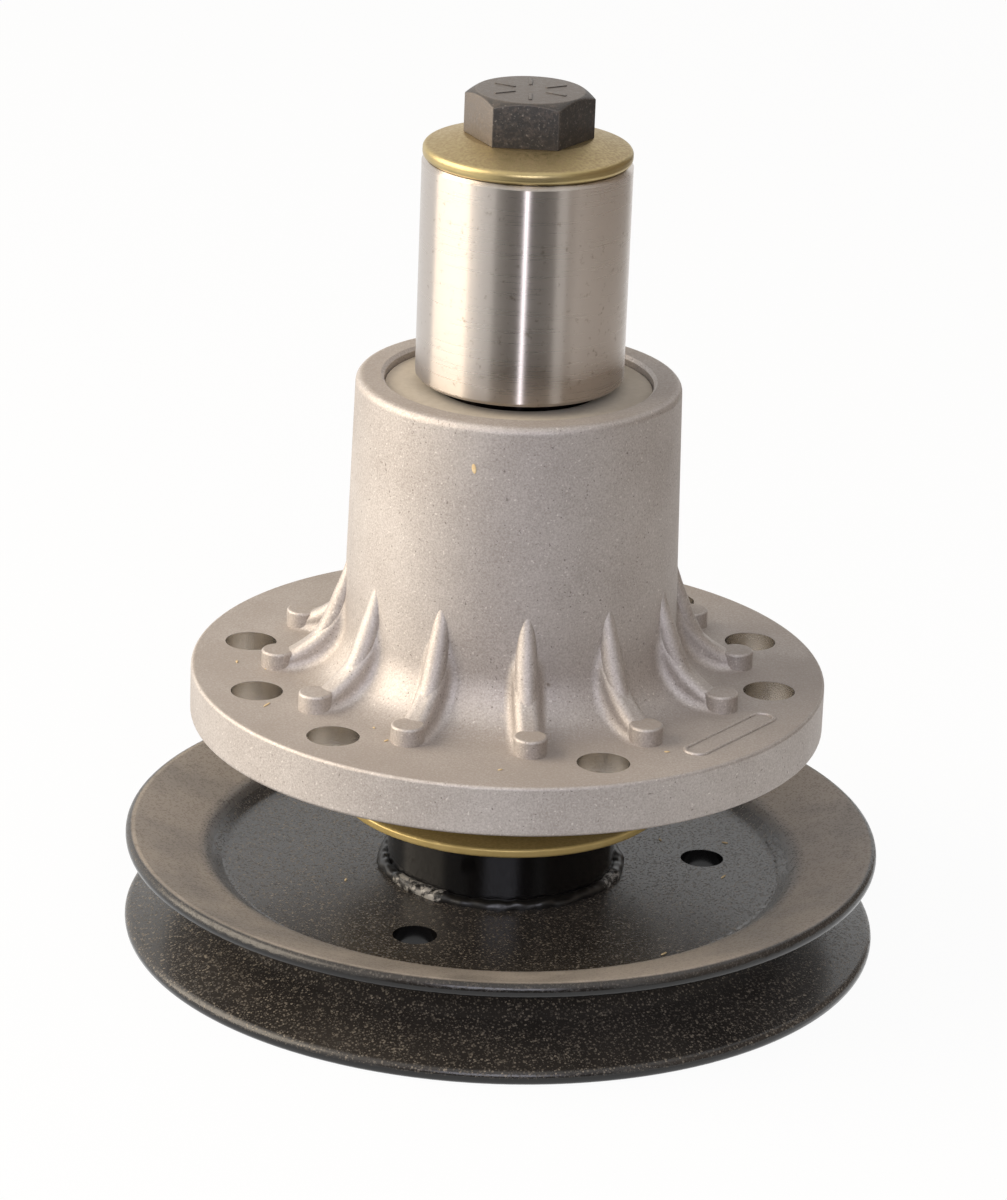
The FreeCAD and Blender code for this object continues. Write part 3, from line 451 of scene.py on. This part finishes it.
def mixEnamel(look):
    finish, tree, shader, place = newFinish("black_gloss_enamel")
    cloud = addNode(tree, "TexNoise", {
        "Vector": place, "Scale": perMm(look["cloud"]), "Detail": 5.0, "Roughness": 0.6})
    upFacing = upShare(tree, look["layTilt"])
    # grit: a grain in each cell, its size drawn by chance; the fine cells also draw the tint
    draws = []
    grains = []
    for grit in (look["fineGrit"], look["coarseGrit"]):
        cells = addNode(tree, "TexVoronoi", {"Vector": place, "Scale": perMm(grit["size"])})
        draws.append(addNode(tree, "SeparateColor", {0: cells.outputs["Color"]}))
        reach = addNode(tree, "MapRange", {
            "Value": draws[-1].outputs["Red"], fromSpan: grit["chance"], "To Max": grit["reach"]})
        grains.append(addNode(tree, "Math", {0: cells.outputs["Distance"], 1: reach}, operation="LESS_THAN"))
    anyGrit = addNode(tree, "Math", {0: grains[0], 1: grains[1]}, operation="MAXIMUM")
    gritHere = addNode(tree, "Math", {0: anyGrit, 1: upFacing}, operation="MULTIPLY")
    gritTint = addNode(tree, "ValToRGB", {0: draws[0].outputs["Green"]})
    gritTint.color_ramp.elements.new(look["gritMiddle"])
    for element, tint in zip(gritTint.color_ramp.elements, look["grit"]):
        element.color = colour(tint)
    # film: thick on the upper flare as far as its lip
    flareStart, flareFull = look["flareRadius"]
    onFlare = addNode(tree, "MapRange", {
        "Value": axisRadius(tree, place), fromSpan: (mm(flareStart), mm(flareFull))})
    height = addNode(tree, "SeparateXYZ", {0: place}).outputs["Z"]
    topStart, topFull = look["flareHeight"]
    onTop = addNode(tree, "MapRange", {"Value": height, fromSpan: (mm(topStart), mm(topFull))})
    topFlare = addNode(tree, "Math", {0: onFlare, 1: onTop}, operation="MULTIPLY")
    flat = addNode(tree, "VectorMath", {0: place, 1: (1, 1, 0)}, operation="MULTIPLY")
    outAxis = addNode(tree, "VectorMath", {0: flat}, operation="NORMALIZE")
    outward = addNode(tree, "VectorMath", {0: addNode(tree, "TexCoord").outputs["Normal"], 1: outAxis},
                      operation="DOT_PRODUCT")
    offLip = addNode(tree, "MapRange", {"Value": outward, fromSpan: look["lipTurn"], toSpan: (1.0, 0.0)})
    filmPlace = addNode(tree, "Math", {0: topFlare, 1: offLip}, operation="MULTIPLY")
    filmLevel = addNode(tree, "MapRange", {"Value": filmPlace, toSpan: look["filmCover"]})
    filmSwing = addNode(tree, "MapRange", {"Value": cloud, fromSpan: noiseSpan, toSpan: look["filmSwing"]})
    filmThick = addNode(tree, "Math", {0: filmLevel, 1: filmSwing}, operation="MULTIPLY")
    filmHere = addNode(tree, "Math", {0: filmThick, 1: upFacing}, operation="MULTIPLY")
    filmed = addNode(tree, "Mix", {0: filmHere, 6: look["black"], 7: look["film"]}, data_type="RGBA")
    gritShare = addNode(tree, "MapRange", {"Value": topFlare, toSpan: (1.0, look["flareGrit"])})
    gritSeen = addNode(tree, "Math", {0: gritHere, 1: gritShare}, operation="MULTIPLY")
    gritted = addNode(tree, "Mix", {0: gritSeen, 6: filmed, 7: gritTint}, data_type="RGBA")
    settled = addNode(tree, "Math", {0: upFacing, 1: look["settledRoughness"], 2: look["gloss"]},
                      operation="MULTIPLY_ADD")
    filmRough = addNode(tree, "Math", {0: filmHere, 1: look["filmRoughness"], 2: settled},
                        operation="MULTIPLY_ADD")
    rough = addNode(tree, "Math", {0: gritHere, 1: look["gritRoughness"], 2: filmRough},
                    operation="MULTIPLY_ADD", use_clamp=True)
    bump = addNode(tree, "Bump", {
        "Height": gritHere, "Strength": look["bump"], "Distance": mm(look["bumpDepth"])})
    setSockets(tree, shader, {"Base Color": gritted, "Roughness": rough, "Normal": bump})
    return finish


enamelFinish = mixEnamel(enamelSet)
for nodeName in ("pulley_upper_half", "pulley_lower_half", "pulley_hub"):
    dress(nodeName, enamelFinish)

# Black-oxide steel: a thin dark satin skin with brown bloom and pale specks, tan dust on top, the same tan
# painted on the flat that faces the window as a painted sheen, grey where edges rub
oxideSet = {
    "black": "3B3937", "worn": "524E4A", "bloom": "5A524C", "speck": "A69E94", "dust": "837A72",
    "cloud": 1.2, "bloomSpan": (0.48, 0.68), "bloomMost": 0.9,
    "speckGap": 0.45, "speckSpan": (0.62, 0.8), "speckMost": 0.4,
    "sheenFlat": (-0.995, -0.096, 0.0), "sheenTurn": (0.9, 0.98), "dustTilt": (0.8, 0.98), "dustCover": 0.62,
    "metallic": 0.45, "roughness": (0.39, 0.58), "bump": 0.6, "bumpDepth": 0.2,
}


def mixOxide(name, skin, look):
    finish, tree, shader, place = newFinish(name, {"Metallic": look["metallic"]})
    cloud = addNode(tree, "TexNoise", {
        "Vector": place, "Scale": perMm(look["cloud"]), "Detail": 5.0, "Roughness": 0.7})
    bloom = addNode(tree, "MapRange", {
        "Value": cloud, fromSpan: look["bloomSpan"], "To Max": look["bloomMost"]})
    bloomed = addNode(tree, "Mix", {0: bloom, 6: skin, 7: look["bloom"]}, data_type="RGBA")
    specks = addNode(tree, "TexNoise", {"Vector": place, "Scale": perMm(look["speckGap"]), "Detail": 1.0})
    speckShare = addNode(tree, "MapRange", {
        "Value": specks, fromSpan: look["speckSpan"], "To Max": look["speckMost"]})
    specked = addNode(tree, "Mix", {0: speckShare, 6: bloomed, 7: look["speck"]}, data_type="RGBA")
    # painted sheen: the flat that faces the window takes the dust tint, in place of the window's reflection
    flatward = addNode(tree, "VectorMath", {
        0: addNode(tree, "TexCoord").outputs["Normal"], 1: look["sheenFlat"]}, operation="DOT_PRODUCT")
    paintedSheen = addNode(tree, "MapRange", {"Value": flatward, fromSpan: look["sheenTurn"]})
    laid = addNode(tree, "Math", {0: upShare(tree, look["dustTilt"]), 1: paintedSheen}, operation="MAXIMUM")
    # one share for the real dust on top and the painted sheen on the window's flat
    dustShare = addNode(tree, "Math", {0: laid, 1: look["dustCover"]}, operation="MULTIPLY")
    dusty = addNode(tree, "Mix", {0: dustShare, 6: specked, 7: look["dust"]}, data_type="RGBA")
    rough = addNode(tree, "MapRange", {"Value": cloud, fromSpan: noiseSpan, toSpan: look["roughness"]})
    bump = addNode(tree, "Bump", {
        "Height": cloud, "Strength": look["bump"], "Distance": mm(look["bumpDepth"])})
    setSockets(tree, shader, {"Base Color": dusty, "Roughness": rough, "Normal": bump})
    return finish


blackOxide = mixOxide("black_oxide_steel", oxideSet["black"], oxideSet)
rubbedOxide = mixOxide("black_oxide_rubbed_edge", oxideSet["worn"], oxideSet)

# Weld under enamel: lumpy black gloss, chipped back to pale grey slag in two places
weldSet = {
    "black": "141312", "chip": "BDBAB2", "soot": "4B4640", "roughness": 0.34, "flake": 1.5,
    "chips": ((26.0, 206.0, 17.0, 10.5), (26.0, 316.0, 16.0, 6.0)),  # radius, angle, height, reach
    "heart": 0.55, "pull": 0.28, "chipSpan": (0.75, 0.81), "bump": 0.6, "bumpDepth": 0.2,
}


def mixWeld(look):
    finish, tree, shader, place = newFinish("chipped_weld_enamel", {"Roughness": look["roughness"]})
    flake = addNode(tree, "TexNoise", {
        "Vector": place, "Scale": perMm(look["flake"]), "Detail": 6.0, "Roughness": 0.75})
    near = 0.0
    for radius, angle, height, reach in look["chips"]:
        middle = onCircle(radius, angle, height)
        gap = addNode(tree, "VectorMath", {0: place, 1: middle}, operation="DISTANCE")
        patch = addNode(tree, "MapRange", {
            "Value": gap, fromSpan: (mm(reach * look["heart"]), mm(reach)), toSpan: (1.0, 0.0)})
        near = addNode(tree, "Math", {0: near, 1: patch}, operation="MAXIMUM")
    chipEdge = addNode(tree, "Math", {0: near, 1: look["pull"], 2: flake}, operation="MULTIPLY_ADD")
    chipShare = addNode(tree, "MapRange", {"Value": chipEdge, fromSpan: look["chipSpan"]})
    slag = addNode(tree, "Mix", {0: flake, 6: look["soot"], 7: look["chip"]}, data_type="RGBA")
    chipped = addNode(tree, "Mix", {0: chipShare, 6: look["black"], 7: slag}, data_type="RGBA")
    bump = addNode(tree, "Bump", {
        "Height": chipShare, "Strength": look["bump"], "Distance": mm(look["bumpDepth"])})
    setSockets(tree, shader, {"Base Color": chipped, "Normal": bump})
    return finish


weldFinish = mixWeld(weldSet)

# Clear zinc plate, bare steels and the dusty seal cases: plain greys with a faint cloud, for what the rest
# hides or shades
bearingEnds = ("blade_end", "pulley_end")
plainSet = {
    "clear_zinc_plate": {"metal": "C9C8C2", "shade": "A3A29A", "roughness": (0.32, 0.48), "cloud": 5.0,
                         "nodes": ("pulley_nut", "pulley_washer")},
    "dusty_seal_case": {"metal": "BDB6A8", "shade": "9C9486", "roughness": (0.74, 0.9), "cloud": 4.0,
                        "metallic": 0.0, "nodes": [f"{end}_seal" for end in bearingEnds]},
    "turned_shaft_steel": {"metal": "B5AFA8", "shade": "8F8983", "roughness": (0.26, 0.42), "cloud": 3.0,
                           "nodes": ("spindle_shaft", "bearing_spacer", "shaft_key")},
    "ground_bearing_steel": {"metal": "CFCDCA", "shade": "B4B2AF", "roughness": (0.12, 0.28), "cloud": 2.0,
                             "nodes": [f"{end}_{part}" for end in bearingEnds
                                       for part in ("outer_ring", "inner_ring", "balls")]},
    "pressed_cage_steel": {"metal": "B9B4AC", "shade": "98938B", "roughness": (0.29, 0.45), "cloud": 3.0,
                           "nodes": [f"{end}_{part}" for end in bearingEnds for part in ("cage", "shields")]},
}


def mixPlain(name, look):
    finish, tree, shader, place = newFinish(name, {"Metallic": look.get("metallic", 1.0)})
    cloud = addNode(tree, "TexNoise", {
        "Vector": place, "Scale": perMm(look["cloud"]), "Detail": 5.0, "Roughness": 0.65})
    mixed = addNode(tree, "Mix", {0: cloud, 6: look["shade"], 7: look["metal"]}, data_type="RGBA")
    rough = addNode(tree, "MapRange", {"Value": cloud, fromSpan: noiseSpan, toSpan: look["roughness"]})
    setSockets(tree, shader, {"Base Color": mixed, "Roughness": rough})
    return finish


for plainName, plainLook in plainSet.items():
    plainFinish = mixPlain(plainName, plainLook)
    for nodeName in plainLook["nodes"]:
        dress(nodeName, plainFinish)

# Dry grass: thin straw-coloured clippings with paler flecks
strawSet = {"straw": "C6A873", "pale": "E4D3AE", "fibre": 0.8, "roughness": 0.8}


def mixStraw(look):
    finish, tree, shader, place = newFinish("dry_grass_clipping", {"Roughness": look["roughness"]})
    fibre = addNode(tree, "TexNoise", {"Vector": place, "Scale": perMm(look["fibre"]), "Detail": 2.0})
    mixed = addNode(tree, "Mix", {0: fibre, 6: look["straw"], 7: look["pale"]}, data_type="RGBA")
    setSockets(tree, shader, {"Base Color": mixed})
    return finish


strawFinish = mixStraw(strawSet)

# Settled dust: a pale warm grey powder, matt and faintly lumpy
dustSet = {"pale": "CFC7B9", "dark": "B5AC9D", "lump": 1.5, "roughness": 0.92, "bump": 0.3, "bumpDepth": 0.2}


def mixDust(look):
    finish, tree, shader, place = newFinish("settled_dust", {"Roughness": look["roughness"]})
    lumps = addNode(tree, "TexNoise", {
        "Vector": place, "Scale": perMm(look["lump"]), "Detail": 4.0, "Roughness": 0.65})
    mixed = addNode(tree, "Mix", {0: lumps, 6: look["dark"], 7: look["pale"]}, data_type="RGBA")
    bump = addNode(tree, "Bump", {
        "Height": lumps, "Strength": look["bump"], "Distance": mm(look["bumpDepth"])})
    setSockets(tree, shader, {"Base Color": mixed, "Normal": bump})
    return finish


dustFinish = mixDust(dustSet)
print("finishes mixed")


# pieces, in millimetres and degrees

# blade bolt: hexagon with a turned crown, rubbed edges and six plain grade lines
boltSet = {
    "flats": 23.8, "height": 9.9, "turn": 5.5, "edge": 0.3, "edgeAngle": 18, "smoothAngle": 25,
    "crownAngle": 30.0, "crownInset": 0.5, "crownSpare": 2.0, "crownSides": 120,
    "shank": 15.875, "length": 50.8, "shankSides": 64, "lead": 0.8, "overlap": 0.2,
    "lines": 6, "lineFrom": 3.7, "lineTo": 8.6, "lineWidth": 0.8, "lineRise": 0.2, "lineTurn": 9.0,
    "lineEdge": 0.15,
}


def makeBoltHead(plan, top, seat):
    clearSelection()
    bpy.ops.mesh.primitive_cylinder_add(
        vertices=6, radius=mm(plan["flats"]) / 2 / math.cos(math.radians(30)), depth=top - seat,
        location=(0, 0, (top + seat) / 2), rotation=(0, 0, math.radians(plan["turn"])))
    head = bpy.context.object
    drop = top - seat + mm(plan["crownSpare"])
    faceRadius = mm(plan["flats"] / 2 - plan["crownInset"])
    clearSelection()
    bpy.ops.mesh.primitive_cone_add(
        vertices=plan["crownSides"], radius1=faceRadius + drop / math.tan(math.radians(plan["crownAngle"])),
        radius2=faceRadius, depth=drop, location=(0, 0, top - drop / 2))
    cutWith(head, bpy.context.object, "INTERSECT")
    head.data.materials.clear()
    head.data.materials.append(blackOxide)
    head.data.materials.append(rubbedOxide)
    softenEdges(head, plan["edge"], segments=3, angle=plan["edgeAngle"], finishIndex=1)
    return head


def makeBoltShank(plan, seat):
    clearSelection()
    bpy.ops.mesh.primitive_cylinder_add(
        vertices=plan["shankSides"], radius=mm(plan["shank"]) / 2, depth=mm(plan["length"]),
        location=(0, 0, seat - mm(plan["length"]) / 2 + mm(plan["overlap"])))
    shank = bpy.context.object
    shank.data.materials.append(blackOxide)
    softenEdges(shank, plan["lead"], segments=2)
    return shank


def makeGradeLine(plan, top, angle):
    clearSelection()
    middle = onCircle((plan["lineFrom"] + plan["lineTo"]) / 2, angle, 0)
    middle.z = top
    bpy.ops.mesh.primitive_cube_add(size=1, location=middle, rotation=(0, 0, math.radians(angle)))
    line = bpy.context.object
    line.scale = (mm(plan["lineTo"] - plan["lineFrom"]), mm(plan["lineWidth"]), mm(plan["lineRise"]) * 2)
    bpy.ops.object.transform_apply(location=False, rotation=False, scale=True)
    line.data.materials.append(blackOxide)
    softenEdges(line, plan["lineEdge"], segments=2)
    return line


def makeBladeBolt(plan):
    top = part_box("blade_bolt")[1].z - mm(plan["lineRise"])
    seat = top + mm(plan["lineRise"] - plan["height"])
    head = makeBoltHead(plan, top, seat)
    shank = makeBoltShank(plan, seat)
    lines = [makeGradeLine(plan, top, plan["lineTurn"] + 360 / plan["lines"] * step)
             for step in range(plan["lines"])]
    bolt = joinPieces([head, shank, *lines], "bladeBoltPiece")
    bpy.ops.object.shade_smooth_by_angle(angle=math.radians(plan["smoothAngle"]))
    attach(bolt, "rotor")
    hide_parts("blade_bolt")


makeBladeBolt(boltSet)
print("blade bolt made")

# hub weld: a hand-laid bead, its height and width wandering round the hub
weldBead = {"ring": 25.6, "lift": 0.3, "thick": 1.6, "turns": 360, "sides": 20,
            "lumps": ((7.0, 1.1), (2.6, 0.8), (1.0, 0.4))}  # size, depth


def makeWeld(plan):
    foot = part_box("hub_weld")[0].z
    clearSelection()
    bpy.ops.mesh.primitive_torus_add(
        major_radius=mm(plan["ring"]), minor_radius=mm(plan["thick"]), major_segments=plan["turns"],
        minor_segments=plan["sides"], location=(0, 0, foot + mm(plan["lift"])))
    bead = bpy.context.object
    bpy.ops.object.transform_apply(location=True, rotation=True, scale=True)
    for index, (size, depth) in enumerate(plan["lumps"]):
        lump = bpy.data.textures.new(f"weldLump{index}", "CLOUDS")
        lump.noise_scale = mm(size)
        lump.noise_depth = 2
        push = bead.modifiers.new(f"lump{index}", "DISPLACE")
        push.texture = lump
        push.texture_coords = "LOCAL"
        push.strength = mm(depth)
        push.mid_level = 0.5
    applyModifiers(bead)
    bead = joinPieces([bead], "hubWeldPiece")
    bpy.ops.object.shade_smooth()
    bead.data.materials.append(weldFinish)
    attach(bead, "rotor")
    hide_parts("hub_weld")


makeWeld(weldBead)
print("weld laid")

# plain cast panel on the flange: a raised rim, straight-sided with round ends, round a bare field
panelSet = {"radius": 58.7, "angle": 302.6, "length": 29.0, "width": 5.0, "rim": 0.45, "segments": 48,
            "sides": 12, "flangeTop": 61.0}


def makeCastPanel(plan):
    clearSelection()
    bpy.ops.mesh.primitive_torus_add(
        major_radius=mm(plan["width"]) / 2, minor_radius=mm(plan["rim"]), major_segments=plan["segments"],
        minor_segments=plan["sides"], rotation=(0, 0, math.pi / plan["segments"]))
    panel = bpy.context.object
    bpy.ops.object.transform_apply(location=True, rotation=True, scale=True)
    stretch = mm(plan["length"] - plan["width"]) / 2
    for side in (1, -1):  # each half ring moves out, and the faces between draw straight
        bpy.ops.object.mode_set(mode="EDIT")
        bpy.ops.mesh.select_mode(type="VERT")
        bpy.ops.mesh.select_all(action="DESELECT")
        bpy.ops.object.mode_set(mode="OBJECT")
        for vertex in panel.data.vertices:
            vertex.select = vertex.co.x * side > 0
        bpy.ops.object.mode_set(mode="EDIT")
        bpy.ops.transform.translate(value=(stretch * side, 0, 0))
        bpy.ops.object.mode_set(mode="OBJECT")
    panel.location = onCircle(plan["radius"], plan["angle"], plan["flangeTop"])
    panel.rotation_euler = (0, 0, math.radians(plan["angle"] + 90))
    panel = joinPieces([panel], "plainCastPanel")
    bpy.ops.object.shade_smooth()
    panel.data.materials.append(castFinish)
    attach(panel, "housing")


makeCastPanel(panelSet)
print("cast panel made")

# rib crests: cast flow at the top of each rib, which fairs its nose into rib and barrel
crestSet = {
    "count": 12, "first": 15.0, "roundness": 8, "smoothness": 8,
    "line": ((44.54, 63.73, 2.5), (42.39, 65.27, 2.5), (40.9, 66.76, 2.5), (39.6, 68.86, 2.45),
             (37.57, 73.18, 2.5), (36.21, 77.26, 2.3), (35.03, 81.4, 1.9), (34.42, 84.98, 1.4),
             (34.2, 87.7, 1.0)),  # radius, height, half width
}


def makeRibCrests(plan):
    clearSelection()
    bpy.ops.curve.primitive_bezier_curve_add()
    crest = bpy.context.object
    crest.data.bevel_depth = mm(1)
    crest.data.bevel_resolution = plan["roundness"]
    crest.data.resolution_u = plan["smoothness"]
    points = crest.data.splines[0].bezier_points
    points.add(len(plan["line"]) - len(points))
    for point, (radius, height, half) in zip(points, plan["line"]):
        point.co = onCircle(radius, plan["first"], height)
        point.handle_left_type = point.handle_right_type = "AUTO"
        point.radius = half
    bpy.ops.object.convert(target="MESH")
    crests = [bpy.context.object]
    for step in range(1, plan["count"]):
        twin = crests[0].copy()
        twin.data = crests[0].data.copy()
        bpy.context.collection.objects.link(twin)
        twin.rotation_euler = (0, 0, 2 * math.pi * step / plan["count"])
        crests.append(twin)
    whole = joinPieces(crests, "ribCrests")
    bpy.ops.object.shade_smooth()
    whole.data.materials.clear()
    whole.data.materials.append(castFinish)
    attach(whole, "housing")


makeRibCrests(crestSet)
print("rib crests made")

# dust bed: what has settled on the seal, in the recess at the top of the housing
dustBed = {"inner": 17.6, "outer": 28.5, "foot": 124.2, "top": 125.1, "edge": 0.3, "sides": 160,
           "coreSpare": 1.0, "smoothAngle": 40}


def makeDustBed(plan):
    deep = plan["top"] - plan["foot"]
    discs = []
    for radius, depth in ((plan["outer"], deep), (plan["inner"], deep + plan["coreSpare"])):
        clearSelection()
        bpy.ops.mesh.primitive_cylinder_add(vertices=plan["sides"], radius=mm(radius), depth=mm(depth),
                                            location=(0, 0, mm(plan["top"] + plan["foot"]) / 2))
        discs.append(bpy.context.object)
    bed, core = discs
    cutWith(bed, core, "DIFFERENCE")
    softenEdges(bed, plan["edge"], segments=3)
    bed = joinPieces([bed], "sealDustBed")
    bpy.ops.object.shade_smooth_by_angle(angle=math.radians(plan["smoothAngle"]))
    bed.data.materials.clear()
    bed.data.materials.append(dustFinish)
    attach(bed, "housing")


makeDustBed(dustBed)
print("dust bed laid")

# dry clippings: thin flakes that lie on the flange, stick to the barrel and lie on the pulley's web
clippingSet = {
    "width": 0.55, "thick": 0.3, "lift": 0.1, "seed": 4, "flangeTop": 61.0, "webTop": 14.9, "barrelLean": 80,
    "onFlange": ((58.2, 188.3, 2.8), (52.5, 167.3, 1.2), (58.8, 163.0, 1.6), (52.3, 220.7, 1.4),
                 (59.5, 248.2, 1.2), (47.9, 213.8, 1.0), (57.2, 285.2, 1.3)),  # radius, angle, length
    "onBarrel": ((35.0, 234.7, 117.5, 2.2, 1.0),),  # radius, angle, height, length, width
    "onWeb": ((39.2, 15.8, 1.4), (52.1, 355.2, 1.6), (49.3, 333.8, 2.2), (38.5, 1.6, 1.1),
              (36.3, 181.8, 1.3), (58.2, 286.4, 2.0), (60.0, 272.9, 1.5)),  # radius, angle, length
}


def makeFlake(spot, turn, length, width, thick):
    clearSelection()
    bpy.ops.mesh.primitive_ico_sphere_add(subdivisions=2, radius=0.5, location=spot, rotation=turn)
    flake = bpy.context.object
    flake.scale = (mm(length), mm(width), mm(thick))
    return flake


def strewFlakes(plan, rows, ground, chance):
    flakes = []
    for radius, angle, length in rows:
        spot = onCircle(radius, angle, ground + plan["lift"])
        turn = (0, 0, chance.uniform(0, math.pi))
        flakes.append(makeFlake(spot, turn, length, plan["width"], plan["thick"]))
    return flakes


def makeClippings(plan):
    chance = random.Random(plan["seed"])
    flange = strewFlakes(plan, plan["onFlange"], plan["flangeTop"], chance)
    barrel = []
    for radius, angle, height, length, width in plan["onBarrel"]:
        turn = (math.pi / 2, math.radians(plan["barrelLean"]), math.radians(angle + 90))
        barrel.append(makeFlake(onCircle(radius, angle, height), turn, length, width, plan["thick"]))
    web = strewFlakes(plan, plan["onWeb"], plan["webTop"], chance)
    for flakes, name, body, slot in ((flange + barrel, "flangeClippings", "housing", "cast_housing"),
                                     (web, "webClippings", "rotor", "pulley_paint")):
        clippings = joinPieces(flakes, name)
        bpy.ops.object.shade_smooth()
        clippings.data.materials.append(strawFinish)
        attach(clippings, body)


makeClippings(clippingSet)
print("clippings strewn")
